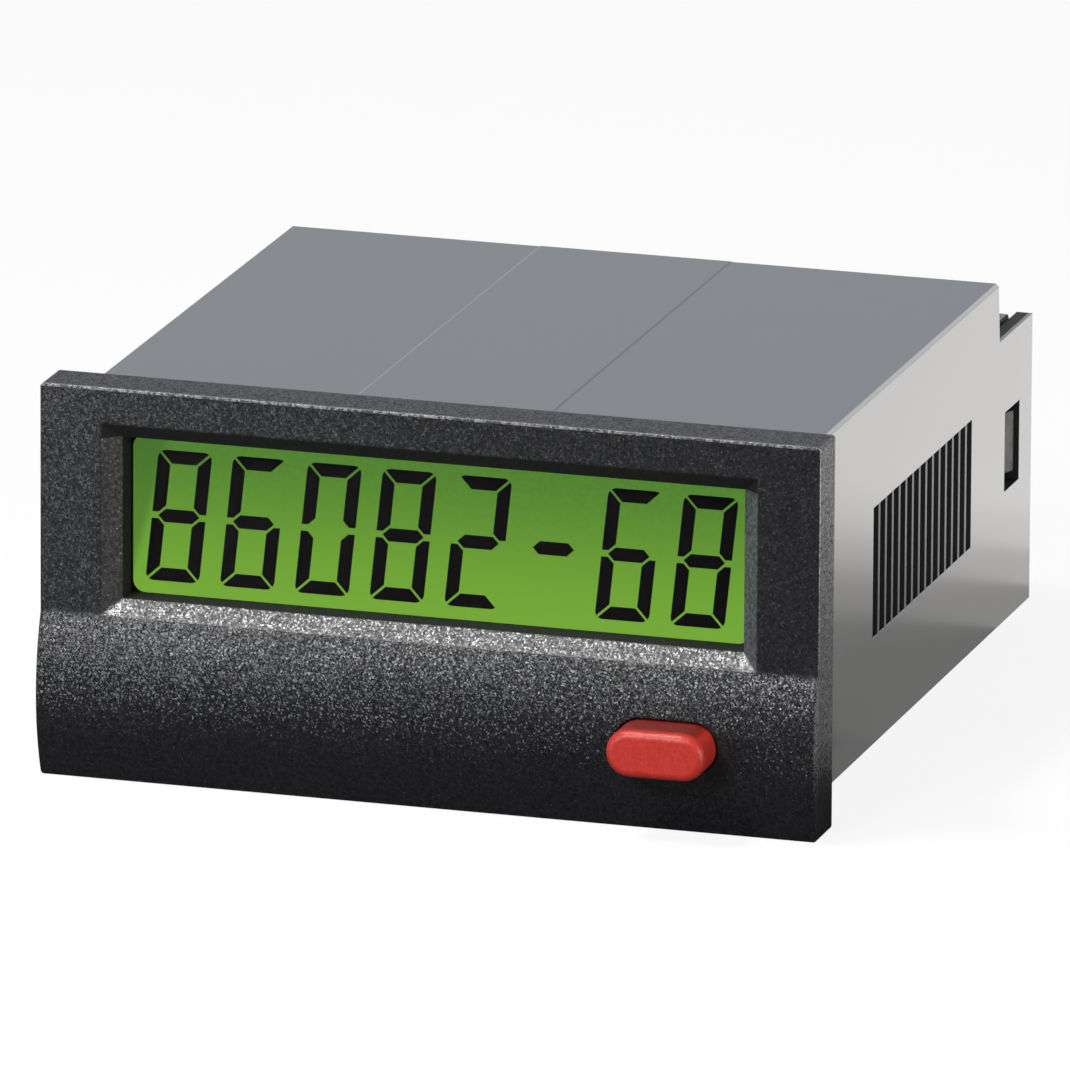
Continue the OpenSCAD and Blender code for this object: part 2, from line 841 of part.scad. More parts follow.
// Rear cover: a shell over the terminal block, snapped into the sleeve's side windows,
// with an upstand that closes the gap under the end of the top wall
module rear_cover() {
    color([0.35, 0.35, 0.36])
    union() {
        difference() {
            along_x(-cover_x, cover_x)
                union() {
                    translate([cover_upstand_y[0], 0])
                        square([cover_upstand_y[1] - cover_upstand_y[0], cover_upstand_z]);
                    translate([cover_y[0], cover_z[0]])
                        square([cover_y[1] - cover_y[0] - cover_corner_r,
                            cover_z[1] - cover_z[0]]);
                    translate([cover_y[0], cover_z[0]])
                        square([cover_y[1] - cover_y[0],
                            cover_z[1] - cover_z[0] - cover_corner_r]);
                    translate([cover_y[1] - cover_corner_r, cover_z[1] - cover_corner_r])
                        circle(cover_corner_r);
                }
            block([cover_wall - cover_x, cover_x - cover_wall],
                [cover_y[0] - over, block_y[1] + 0.05],
                [cover_z[0] + cover_wall, block_z[1] + 0.05]);
            for (i = [0 : pole_count - 1])
                translate([pole_x(i), 0, 0]) {
                    translate([0, screw_y, block_z[1] - over])
                        cylinder(r = access_r, h = 2);
                    block([-entry_w / 2, entry_w / 2], [block_y[1] - over, cover_y[1] + over],
                        entry_z);
                }
            mirrored_x()
                for (slit = [[latch_window_z[0], arm_z[0]], [arm_z[1], latch_window_z[1]]])
                    block([cover_x - cover_wall - over, cover_x + over],
                        [cover_y[0] - over, latch_window_y[1]], slit);
        }
        mirrored_x() latch_hook();
    }
}

housing();
window_lens();
window_mask();
lcd_front_glass();
lcd_segments();
lcd_edge_seal();
lcd_rear_glass();
diffuser_film();
light_guide();
reflector_foil();
backlight_leds();
display_frame();
zebra_strip();
display_board();
controller_chip();
quartz_crystal();
switch_body();
switch_plunger();
reset_button();
board_header();
header_pins();
main_board();
input_resistors();
input_optocoupler();
filter_capacitors();
battery();
battery_tabs();
terminal_block();
wire_clamps();
terminal_screws();
terminal_pins();
rear_cover();
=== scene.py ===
"""Looks of a panel hour meter: its materials, its edges, the lamps, the floor and the camera.

Units are metres, in the part's own frame: X right, +Y into the panel, +Z up.
"""

import math

import bpy
from mathutils import Matrix, Vector


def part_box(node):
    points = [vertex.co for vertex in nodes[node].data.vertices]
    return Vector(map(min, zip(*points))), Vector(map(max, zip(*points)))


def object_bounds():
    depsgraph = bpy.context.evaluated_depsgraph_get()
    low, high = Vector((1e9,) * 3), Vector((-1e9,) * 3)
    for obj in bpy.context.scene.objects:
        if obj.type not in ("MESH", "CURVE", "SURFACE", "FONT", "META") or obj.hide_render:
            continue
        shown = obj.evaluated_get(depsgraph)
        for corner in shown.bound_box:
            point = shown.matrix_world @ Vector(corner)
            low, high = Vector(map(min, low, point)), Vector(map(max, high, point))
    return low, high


MM = 0.001

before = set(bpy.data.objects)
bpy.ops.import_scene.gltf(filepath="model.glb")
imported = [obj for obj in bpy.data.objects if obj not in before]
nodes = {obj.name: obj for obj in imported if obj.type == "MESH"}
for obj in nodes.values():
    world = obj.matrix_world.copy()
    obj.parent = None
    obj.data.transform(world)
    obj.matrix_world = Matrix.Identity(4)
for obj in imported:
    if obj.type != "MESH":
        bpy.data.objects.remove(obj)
cad_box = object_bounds()

# Camera: worked out from the front rectangle and the body's edges in the photograph
CAMERA_YAW = math.radians(16.912)
CAMERA_PITCH = math.radians(15.324)
CAMERA_ROLL = math.radians(0.321)
CAMERA_DISTANCE = 1.2
CAMERA_AIM = Vector((5.638, 0.0, 4.360)) * MM
CAMERA_LENS = 684.9
CAMERA_SENSOR = 36.0

# Places on the housing that masks use
SLEEVE_X = 22.5 * MM
SLEEVE_Z = 10.95 * MM
PANEL_Y = 0.0
FRONT_Y = -3.2 * MM
BAND_TOP_Z = -1.97 * MM
WINDOW_X = 20.25 * MM
WINDOW_TOP_Z = 9.8 * MM
BEVEL_TOP_Z = 8.9 * MM
THROAT_Y = -2.25 * MM
SLEEVE_EDGE = 0.25 * MM
MIN_GAP = 0.02 * MM
RIM_X = 23.95 * MM
RIM_Z = 11.95 * MM
RIM_EDGE = 0.25 * MM
LOW_RIM_Z = (-1.0 * MM, -8.0 * MM)
FLANK_X = 19.1 * MM
VENT_MIDDLE = (24.3 * MM, -0.1 * MM)
VENT_HALF = (10.7 * MM, 4.0 * MM)

# How far its edges are rounded, and how wide its upper front edge is, which is smoother and painted
# pale as a highlight
FRONT_ROUND = 0.2 * MM
SLEEVE_ROUND = 0.06 * MM
SOFT_EDGE = 0.45 * MM
SOFT_REACH = 0.54 * MM
SOFT_BACK_Y = FRONT_Y + 0.6 * MM
HIGHLIT_EDGE = 0.1 * MM

# The housing's colours, each pair from its darkest grain to its palest
GRAIN = ((0.006, 0.006, 0.007), (0.014, 0.014, 0.016))
# Painted glints: pale dots on the sparse steeper grains
PAINTED_GLINT = (0.03, 0.03, 0.034)
# Painted light: the window's bevels are paler than the face, the lower one lit from above, the left
# one warm and the right one cool
LIT_LOW_BEVEL = ((0.04, 0.04, 0.041), (0.1, 0.1, 0.102))
LIT_LEFT_BEVEL = ((0.026, 0.025, 0.023), (0.06, 0.057, 0.054))
LIT_RIGHT_BEVEL = ((0.048, 0.051, 0.056), (0.106, 0.111, 0.118))
RIM = (0.005, 0.005, 0.006)
# Painted highlight: pale colours along the upper front edge
EDGE_HIGHLIGHT = ((0.05, 0.05, 0.053), (0.3, 0.29, 0.28))
SLEEVE = ((0.026, 0.027, 0.029), (0.03, 0.031, 0.033))
# Painted shade: the inside is darker than the sleeve, so that the vent slots read dark
SHADED_INSIDE = (0.008, 0.008, 0.008)
# Painted shade: near black for the window's throat and its upper bevel
SHADE_BLACK = (0.002, 0.002, 0.002)

# How rough each of its faces is
ROUGH = {"band": 0.26, "flat": 0.36, "bevel": 0.25, "flank": 0.21, "rim": 0.48, "low_rim": 0.3,
         "worn": 0.21, "sleeve": 0.22, "bars": 0.45, "inside": 0.7, "dull_and_shaded": 0.9}

# How far the facets of its fine and its coarse grain lean
LEAN = {"band": 0.42, "band_speck": 0.6, "flat": 0.23, "flat_speck": 0.52, "top_speck": 0.4,
        "bevel": 0.36, "flank": 0.2, "rim": 0.4, "low_rim": 0.2, "worn": 0.1}
COARSE_LEAN = {"flat": 0.12, "rim": 0.22, "low_rim": 0.1}

# Features per metre of its grains, clouds and spots
FINE_GRAIN = 12500
COARSE_GRAIN = 6500
CLOUDS = 4200
SPECKS = 3300
HIGHLIGHT_GRAIN = 5200
SLEEVE_CLOUDS = 260
BUTTON_GRAIN = 9000

# Share of the cells that hold a speck, its radius in cells, and the part of that which is full
SPECK_SHARE = 0.4
SPECK_RADIUS = 0.24
SPECK_CORE = 0.4

# Noise values that are stretched over the whole of a range
MIDDLE = (0.3, 0.7)
HIGHLIGHT_RANGE = (0.4, 0.65)

# A painted shadow of the window's left wall darkens the lit film to the left of a leaning line near
# its left end
LIT_X = 19.1 * MM
SHADOW_Z = 1.5 * MM
SHADOW_SLOPE = 0.25
SHADOW_EDGE = (0.35 * MM, -0.3 * MM)
SHADOW_SHARE = 0.45
MOTTLE_SHARE = 0.16
FILM_STRENGTH = 0.9

# Painted shade on the button's upper flank, from here up and from the front edge back
SHADE_Z = (-5.6 * MM, -5.3 * MM)
SHADE_FROM_FRONT = (0.2 * MM, 0.9 * MM)
SHADE_SHARE = 0.95
BUTTON_LEAN = 0.16

# One dark and one pale layer of the contact strip
STRIP_PITCH = 0.2 * MM

# Features per metre of a plain moulding's clouds, sheen and grain, and how its roughness varies
PLASTIC_CLOUDS = 350
PLASTIC_SHEEN = 1500
PLASTIC_GRAIN = 7000
SHEEN_SPREAD = 0.06

# The same of metal, with the share of its colour that its tarnished places keep
METAL_CLOUDS = 500
METAL_MARKS = 2500
MARKS_SMOOTHER = 0.08
MARKS_ROUGHER = 0.1
TARNISH = 0.8

# A board's cut edge, where its traces fade out in their pattern, and how high they stand
BOARD_EDGE = 0.05 * MM
TRACE_END = (0.09, 0.06)
TRACE_DEPTH = 0.02 * MM

# A chip's leads, half a resistor's colour band, a capacitor's stripe and bare top, a lamp's wall
LEAD_LENGTH = 1.0 * MM
BAND_HALF = 0.3 * MM
STRIPE_DEPTH = 0.5 * MM
CAN_TOP = 0.15 * MM
LAMP_WALL = 0.3 * MM

# The cell's sleeve ends this far before the cell does, and lies this far to the knob's other side
CELL_END = 1.1 * MM
CELL_SHIFT = 0.4 * MM

# The floor, and how much of its look to the camera is plain white
FLOOR_Z = cad_box[0].z
FLOOR_SIZE = 6.0
FLOOR_GAP = 0.02 * MM
FLOOR_WHITE = 0.88
FLOOR_SHADE = (0.09, 0.09, 0.09, 1.0)
FLOOR_PALE = (0.85, 0.85, 0.85, 1.0)

# How bright the pale wall behind the part is, and the light from all round
WALL_LIGHT = 0.85
ROOM_LIGHT = 0.13

# Between which Y of a direction the wall fades in, and between which Z it is there again
WALL_FADE = (0.0, 0.6)
CEILING_FADE = (0.6, 0.3)
WALL_TINT = (0.95, 1.0, 1.07, 1.0)
COOL = (0.95, 0.98, 1.0)
WARM = (1.0, 0.985, 0.96)

# Strips of lit table, front edge of each and how bright it is
TABLE_GLOW_X = 52 * MM
TABLE_GLOW_W = 60 * MM
TABLE_GLOW_Y = [y * MM for y in (18, 44, 54, 62, 70, 80, 200)]
TABLE_GLOW = (0.4, 0.7, 1.2, 1.7, 1.95, 1.9)

# Two smaller ones beside the sleeve's lower edge: left, right, front and back, in millimetres
NEAR_GLOW = ((22.7, 24.2, 6.0, 10.0), (22.7, 26.4, 10.0, 18.0))
NEAR_RADIANCE = 0.36
GLOW_HEIGHT = 0.4 * MM

# Watts of a strip for each square metre and unit of brightness
GLOW_WATTS = 4.0


class Finish:
    """A material that is built up node by node."""

    def __init__(self, name, colour, roughness, specular=0.5, metallic=0.0):
        self.material = bpy.data.materials.new(name)
        self.material.use_nodes = True
        self.tree = self.material.node_tree
        self.shader = self.tree.nodes["Principled BSDF"]
        self.set("Base Color", (*colour, 1.0))
        self.set("Roughness", roughness)
        self.set("Specular IOR Level", specular)
        self.set("Metallic", metallic)
        self.place = self.add("ShaderNodeTexCoord").outputs["Object"]
        self.edges = None

    def set(self, socket, value):
        """Sets a socket of the shader to a value, or joins an output to it."""
        self.join(value, self.shader.inputs[socket])

    def join(self, value, socket):
        if isinstance(value, bpy.types.NodeSocket):
            self.tree.links.new(value, socket)
        else:
            socket.default_value = value

    def add(self, kind, inputs=None, **settings):
        """A new node with these settings, and these values or links at its inputs."""
        node = self.tree.nodes.new(kind)
        for name, value in settings.items():
            setattr(node, name, value)
        for name, value in (inputs or {}).items():
            self.join(value, node.inputs[name])
        return node

    def math(self, operation, a, b=0.0):
        """One operation on two numbers or outputs."""
        return self.add("ShaderNodeMath", {0: a, 1: b}, operation=operation).outputs[0]

    def axis(self, letter):
        """One coordinate of the place on the part."""
        return self.add("ShaderNodeSeparateXYZ", {0: self.place}).outputs[letter]

    def reach(self, letter, middle):
        """Distance from a middle plane, along one axis."""
        return self.math("ABSOLUTE", self.math("SUBTRACT", self.axis(letter), middle))

    def above(self, value, limit):
        """1 where the value is over the limit, and 0 elsewhere."""
        return self.math("GREATER_THAN", value, limit)

    def both(self, a, b):
        return self.math("MULTIPLY", a, b)

    def either(self, a, b):
        return self.math("MAXIMUM", a, b)

    def noise(self, scale, detail=2.0, roughness=0.5, stretch=(1, 1, 1)):
        """Noise with this many features per metre, from 0 to 1."""
        mapping = self.add("ShaderNodeMapping", {"Vector": self.place, "Scale": stretch})
        values = {"Vector": mapping.outputs[0], "Scale": scale,
                  "Detail": detail, "Roughness": roughness}
        return self.add("ShaderNodeTexNoise", values).outputs[0]

    def cells(self, scale, share, radius):
        """Round spots in a share of a lattice of cells, this many cells per metre."""
        lattice = self.add("ShaderNodeTexVoronoi", {"Vector": self.place, "Scale": scale})
        red = self.add("ShaderNodeSeparateColor", {0: lattice.outputs["Color"]}).outputs[0]
        spot = self.step(lattice.outputs["Distance"], radius, SPECK_CORE * radius)
        return self.both(self.above(red, 1.0 - share), spot)

    def step(self, value, low, high, out_low=0.0, out_high=1.0):
        """Maps a value from one range to another, smoothly, and holds it at the ends."""
        values = {0: value, 1: low, 2: high, 3: out_low, 4: out_high}
        return self.add("ShaderNodeMapRange", values, interpolation_type="SMOOTHSTEP").outputs[0]

    def blend(self, share, a, b):
        """A colour that goes from a to b."""
        node = self.add("ShaderNodeMix", data_type="RGBA")
        self.join(share, node.inputs["Factor"])
        for value, socket in ((a, node.inputs[6]), (b, node.inputs[7])):
            self.join(value if isinstance(value, bpy.types.NodeSocket) else (*value, 1.0), socket)
        return node.outputs[2]

    def mix(self, share, a, b):
        """A number that goes from a to b."""
        node = self.add("ShaderNodeMix", data_type="FLOAT")
        for value, socket in ((share, 0), (a, 2), (b, 3)):
            self.join(value, node.inputs[socket])
        return node.outputs[0]

    def bump(self, height, depth):
        """Gives the surface relief of this depth, in metres, over any rounded edges."""
        values = {"Height": height, "Distance": depth}
        if self.edges is not None:
            values["Normal"] = self.edges
        self.edges = self.add("ShaderNodeBump", values).outputs[0]
        self.set("Normal", self.edges)

    def round_edges(self, radius):
        """Rounds the look of sharp edges, as a moulding has them."""
        self.edges = self.add("ShaderNodeBevel", {"Radius": radius}, samples=4).outputs[0]
        self.set("Normal", self.edges)

    def facets(self, scale, spread):
        """Breaks the surface into small facets, each leaning its own way by up to this much."""
        if self.edges is None:
            self.edges = self.add("ShaderNodeNewGeometry").outputs["Normal"]
        lattice = self.add("ShaderNodeTexVoronoi", {"Vector": self.place, "Scale": scale})
        lean = self.add("ShaderNodeVectorMath", {0: lattice.outputs["Color"], 1: (0.5, 0.5, 0.5)},
                        operation="SUBTRACT").outputs[0]
        lean = self.add("ShaderNodeVectorMath", {0: lean, "Scale": spread},
                        operation="SCALE").outputs[0]
        leaning = self.add("ShaderNodeVectorMath", {0: self.edges, 1: lean},
                           operation="ADD").outputs[0]
        self.edges = self.add("ShaderNodeVectorMath", {0: leaning},
                              operation="NORMALIZE").outputs[0]
        self.set("Normal", self.edges)

    def dress(self, *names):
        """Puts the material on CAD nodes."""
        for name in names:
            nodes[name].data.materials.clear()
            nodes[name].data.materials.append(self.material)


def housing_finish():
    """The housing: spark-eroded bezel, polished sleeve, matte inside that is painted darker as shade.
    """
    finish = Finish("housing_plastic", (0.02, 0.02, 0.022), 0.4)
    x, y, z = (finish.axis(letter) for letter in "XYZ")
    on_bezel = finish.step(y, PANEL_Y + MIN_GAP, PANEL_Y)
    out_x = finish.above(finish.reach("X", 0.0), SLEEVE_X - SLEEVE_EDGE)
    out_z = finish.above(finish.reach("Z", 0.0), SLEEVE_Z - SLEEVE_EDGE)
    outside = finish.either(out_x, out_z)
    skin = finish.either(outside, on_bezel)

    # The window's bevels are moulded finer than the face, and its throat is dull and painted near
    # black as shade
    within = finish.above(WINDOW_X, finish.reach("X", 0.0))
    in_recess = finish.both(finish.above(y, FRONT_Y + MIN_GAP), finish.above(z, BAND_TOP_Z))
    in_recess = finish.both(finish.both(in_recess, finish.above(WINDOW_TOP_Z, z)), within)
    in_recess = finish.both(in_recess, on_bezel)
    in_throat = finish.both(finish.above(y, THROAT_Y + MIN_GAP), in_recess)

    # The flange's rim is coarser, and its upper front edge is smoother and painted pale as a highlight
    past_face = finish.above(y, FRONT_Y + RIM_EDGE)
    rim_x = finish.above(finish.reach("X", 0.0), RIM_X)
    rim_z = finish.above(finish.reach("Z", 0.0), RIM_Z)
    rim = finish.either(rim_x, rim_z)
    rim = finish.both(finish.both(rim, past_face), on_bezel)
    # The upper front edge, smoother and painted pale as a highlight
    worn = finish.both(finish.above(z, RIM_Z - HIGHLIT_EDGE), finish.above(FRONT_Y + HIGHLIT_EDGE, y))

    # Fine spark-eroded grain, with sparse grains that stand steeper, catch the light and are painted
    # pale as glints
    steep_grain_and_glint = finish.cells(SPECKS, SPECK_SHARE, SPECK_RADIUS)
    cloud = finish.step(finish.noise(CLOUDS), *MIDDLE)
    bezel_colour = finish.blend(cloud, *GRAIN)
    # Painted glints: the steeper grains are coloured pale
    bezel_colour = finish.blend(steep_grain_and_glint, bezel_colour, PAINTED_GLINT)
    # Painted light: paler copies of the grain on the window's lower, left and right bevels
    lit_recess_colour = finish.blend(cloud, *LIT_LOW_BEVEL)
    bezel_colour = finish.blend(in_recess, bezel_colour, lit_recess_colour)
    flank = finish.both(in_recess, finish.above(finish.reach("X", 0.0), FLANK_X))
    right_flank = finish.both(in_recess, finish.above(x, FLANK_X))
    lit_left_colour = finish.blend(cloud, *LIT_LEFT_BEVEL)
    lit_right_colour = finish.blend(cloud, *LIT_RIGHT_BEVEL)
    bezel_colour = finish.blend(flank, bezel_colour, lit_left_colour)
    bezel_colour = finish.blend(right_flank, bezel_colour, lit_right_colour)
    bezel_colour = finish.blend(rim, bezel_colour, RIM)
    # Painted highlight: a pale, noisy colour along the upper front edge
    painted_highlight = finish.blend(finish.step(finish.noise(HIGHLIGHT_GRAIN), *HIGHLIGHT_RANGE), *EDGE_HIGHLIGHT)
    bezel_colour = finish.blend(worn, bezel_colour, painted_highlight)
    # Painted shade: the throat and the upper bevel, which faces down, are coloured near black
    dull_and_shaded = finish.either(in_throat, finish.both(in_recess, finish.above(z, BEVEL_TOP_Z)))
    sleeve_colour = finish.blend(finish.noise(SLEEVE_CLOUDS), *SLEEVE)
    colour = finish.blend(on_bezel, sleeve_colour, bezel_colour)
    # Painted shade: the inside, seen through the vents, is darker than the sleeve
    colour = finish.blend(skin, SHADED_INSIDE, colour)
    finish.set("Base Color", finish.blend(dull_and_shaded, colour, SHADE_BLACK))

    # The face is rougher than the band, and the flange's side smoother towards its lower end
    flat = finish.both(finish.above(z, BAND_TOP_Z), finish.above(FRONT_Y + MIN_GAP, y))
    low_rim = finish.step(z, LOW_RIM_Z[0], LOW_RIM_Z[1])
    face_roughness = finish.mix(worn, ROUGH["band"], ROUGH["worn"])
    recess_roughness = finish.mix(flank, ROUGH["bevel"], ROUGH["flank"])
    rim_roughness = finish.mix(low_rim, ROUGH["rim"], ROUGH["low_rim"])
    bezel_roughness = finish.mix(in_recess, face_roughness, recess_roughness)
    bezel_roughness = finish.mix(flat, bezel_roughness, ROUGH["flat"])
    bezel_roughness = finish.mix(rim, bezel_roughness, rim_roughness)

    # The bars between the vent slots are thin and drawn, and so less smooth than the wall
    bars = finish.both(finish.above(VENT_HALF[0], finish.reach("Y", VENT_MIDDLE[0])),
                       finish.above(VENT_HALF[1], finish.reach("Z", VENT_MIDDLE[1])))
    sleeve_roughness = finish.mix(finish.both(out_x, bars), ROUGH["sleeve"], ROUGH["bars"])
    body_roughness = finish.mix(outside, ROUGH["inside"], sleeve_roughness)
    roughness = finish.mix(on_bezel, body_roughness, bezel_roughness)
    finish.set("Roughness", finish.mix(dull_and_shaded, roughness, ROUGH["dull_and_shaded"]))

    # The edge between the lower bevel and the band is rounder than the others
    near_edge = finish.above(SOFT_REACH, finish.reach("Z", BAND_TOP_Z))
    soft = finish.both(near_edge, finish.above(SOFT_BACK_Y, y))
    radius = finish.mix(worn, finish.mix(on_bezel, SLEEVE_ROUND, FRONT_ROUND), HIGHLIT_EDGE)
    finish.round_edges(finish.mix(soft, radius, SOFT_EDGE))

    # Facets of the fine grain everywhere on the bezel, and of a coarse one on its face and rim
    top_bar = finish.above(z, WINDOW_TOP_Z)
    speck_lean = finish.mix(top_bar, LEAN["flat_speck"], LEAN["top_speck"])
    flat_lean = finish.mix(steep_grain_and_glint, LEAN["flat"], speck_lean)
    lean = finish.mix(flat, finish.mix(steep_grain_and_glint, LEAN["band"], LEAN["band_speck"]), flat_lean)
    lean = finish.mix(in_recess, lean, finish.mix(flank, LEAN["bevel"], LEAN["flank"]))
    lean = finish.mix(rim, lean, finish.mix(low_rim, LEAN["rim"], LEAN["low_rim"]))
    lean = finish.both(on_bezel, finish.mix(worn, lean, LEAN["worn"]))
    finish.facets(FINE_GRAIN, lean)
    rim_lean = finish.mix(low_rim, COARSE_LEAN["rim"], COARSE_LEAN["low_rim"])
    coarse_lean = finish.either(finish.both(flat, COARSE_LEAN["flat"]), finish.both(rim, rim_lean))
    finish.facets(COARSE_GRAIN, coarse_lean)
    finish.dress("housing")


def film_finish():
    """The lit film: brighter towards its lower edge, as painted shade, and darker at its upper left,
    as a painted shadow.
    """
    low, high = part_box("diffuser_film")
    film = Finish("lit_film", (0.03, 0.1, 0.005), 0.6, 0.2)
    z = film.axis("Z")
    x = film.axis("X")
    # Painted shade: the glow is darker towards the film's upper edge
    lower = film.step(z, high.z, low.z)
    # Painted shadow of the window's left wall: a wedge at the film's upper left
    shadow_end = film.math("MULTIPLY", film.math("SUBTRACT", z, SHADOW_Z), SHADOW_SLOPE)
    from_end = film.math("SUBTRACT", film.math("ADD", x, LIT_X), shadow_end)
    painted_shadow = film.step(from_end, *SHADOW_EDGE)
    glow = film.blend(lower, (0.097, 0.26, 0.041), (0.24, 0.52, 0.055))
    mottle = film.step(film.noise(CLOUDS, 1.0), *MIDDLE, 0.0, MOTTLE_SHARE)
    glow = film.blend(mottle, glow, (0.19, 0.5, 0.06))
    # The glow is darker inside the painted shadow
    glow = film.blend(film.both(painted_shadow, SHADOW_SHARE), glow, (0.052, 0.14, 0.032))
    film.set("Emission Color", glow)
    film.set("Emission Strength", FILM_STRENGTH)
    film.dress("diffuser_film")


def display_finishes():
    """The display's segments, black print, clear panes, contact strip and light guide."""
    segment = Finish("display_segment", (0.006, 0.005, 0.006), 0.5, 0.1)
    shade = segment.blend(segment.noise(900), (0.005, 0.004, 0.005), (0.008, 0.006, 0.007))
    segment.set("Base Color", shade)
    segment.dress("lcd_segments", "lcd_edge_seal")

    mask = Finish("black_print", (0.004, 0.004, 0.004), 0.5, 0.2)
    mask.set("Base Color", mask.blend(mask.noise(600), (0.003, 0.003, 0.003), (0.005, 0.005, 0.005)))
    mask.dress("window_mask")

    panes = (("window_lens", 0.04), ("lcd_front_glass", 0.02), ("lcd_rear_glass", 0.02))
    for name, clear in panes:
        glass = Finish(name + "_clear", (0.0, 0.0, 0.0), 0.05, 0.3)
        glass.set("Roughness", glass.step(glass.noise(300), *MIDDLE, 0.03, 0.08))
        glass.set("Alpha", clear)
        glass.dress(name)

    # Layers of conductive and plain rubber, seen as fine stripes along the strip
    zebra = Finish("layered_rubber", (0.3, 0.3, 0.32), 0.7, 0.3)
    turns = zebra.math("MULTIPLY", zebra.axis("X"), 2 * math.pi / STRIP_PITCH)
    layer = zebra.above(zebra.math("SINE", turns), 0.0)
    zebra.set("Base Color", zebra.blend(layer, (0.36, 0.36, 0.38), (0.03, 0.03, 0.03)))
    zebra.dress("zebra_strip")

    acrylic = Finish("acrylic", (0.7, 0.85, 0.72), 0.08)
    acrylic.set("Roughness", acrylic.step(acrylic.noise(500), *MIDDLE, 0.05, 0.14))
    acrylic.dress("light_guide")


def button_finish():
    """Red plastic with a satin grain, and painted shade on its upper flank towards the slot."""
    front_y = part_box("reset_button")[0].y
    red = Finish("button_red", (0.5, 0.035, 0.028), 0.42, 0.5)
    clean = red.blend(red.noise(900, 3.0), (0.47, 0.027, 0.017), (0.53, 0.034, 0.022))
    start, end = (front_y + back for back in SHADE_FROM_FRONT)
    # Painted shade: the upper flank is darker towards the slot
    painted_shade = red.both(red.step(red.axis("Z"), *SHADE_Z), red.step(red.axis("Y"), start, end))
    red.set("Base Color", red.blend(red.both(painted_shade, SHADE_SHARE), clean, (0.18, 0.01, 0.006)))
    red.facets(BUTTON_GRAIN, BUTTON_LEAN)
    red.dress("reset_button")


def moulded(name, colour, spread, roughness, grain, *dressed, edge=0.0):
    """Plain moulded plastic with a little cloud in its colour and a fine satin grain."""
    finish = Finish(name, colour, roughness)
    dark = tuple(c * (1.0 - spread) for c in colour)
    light = tuple(c * (1.0 + spread) for c in colour)
    finish.set("Base Color", finish.blend(finish.noise(PLASTIC_CLOUDS, 3.0), dark, light))
    sheen = finish.step(finish.noise(PLASTIC_SHEEN), *MIDDLE,
                        roughness - SHEEN_SPREAD, roughness + SHEEN_SPREAD)
    finish.set("Roughness", sheen)
    if edge > 0.0:
        finish.round_edges(edge)
    finish.bump(finish.noise(PLASTIC_GRAIN, 1.0), grain)
    finish.dress(*dressed)


def metal(name, colour, roughness, stretch, *dressed):
    """Plated or drawn metal with fine marks along the way it was made."""
    finish = Finish(name, colour, roughness, metallic=1.0)
    worn = tuple(c * TARNISH for c in colour)
    marks = finish.noise(METAL_MARKS, 3.0, 0.6, stretch)
    finish.set("Base Color", finish.blend(finish.noise(METAL_CLOUDS, 3.0), colour, worn))
    roughness_range = (roughness - MARKS_SMOOTHER, roughness + MARKS_ROUGHER)
    finish.set("Roughness", finish.step(marks, *MIDDLE, *roughness_range))
    finish.bump(marks, 0.01 * MM)
    finish.dress(*dressed)


def board_finish(name, trace_scale):
    """Green solder mask over copper traces, with the tan cut edge of the laminate."""
    low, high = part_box(name)
    thin = min(range(3), key=lambda i: (high - low)[i])
    finish = Finish(name + "_laminate", (0.02, 0.13, 0.06), 0.32)
    wide = [letter for i, letter in enumerate("XYZ") if i != thin]
    middle = (low + high) / 2
    edge = None
    for letter in wide:
        i = "XYZ".index(letter)
        rim = finish.above(finish.reach(letter, middle[i]), (high[i] - low[i]) / 2 - BOARD_EDGE)
        edge = rim if edge is None else finish.either(edge, rim)
    tracks = finish.add("ShaderNodeTexVoronoi", {"Vector": finish.place, "Scale": trace_scale},
                        feature="DISTANCE_TO_EDGE")
    copper = finish.step(tracks.outputs["Distance"], *TRACE_END)
    green = finish.blend(copper, (0.012, 0.09, 0.04), (0.03, 0.17, 0.07))
    green = finish.blend(finish.noise(400, 3.0), green, (0.015, 0.1, 0.045))
    finish.set("Base Color", finish.blend(edge, green, (0.35, 0.27, 0.13)))
    finish.set("Roughness", finish.mix(edge, 0.3, 0.75))
    finish.bump(copper, TRACE_DEPTH)
    finish.dress(name)


def chip_finish():
    """Black epoxy body between tinned leads."""
    low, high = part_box("controller_chip")
    middle = (low + high) / 2
    body_half = (high.x - low.x) / 2 - LEAD_LENGTH
    chip = Finish("chip_epoxy", (0.012, 0.012, 0.013), 0.5)
    lead_x = chip.above(chip.reach("X", middle.x), body_half)
    lead_z = chip.above(chip.reach("Z", middle.z), body_half)
    lead = chip.either(lead_x, lead_z)
    epoxy = chip.blend(chip.noise(1200), (0.01, 0.01, 0.011), (0.018, 0.018, 0.019))
    chip.set("Base Color", chip.blend(lead, epoxy, (0.6, 0.6, 0.62)))
    chip.set("Metallic", lead)
    chip.set("Roughness", chip.mix(lead, 0.55, 0.3))
    chip.bump(chip.noise(6000), 0.01 * MM)
    chip.dress("controller_chip")


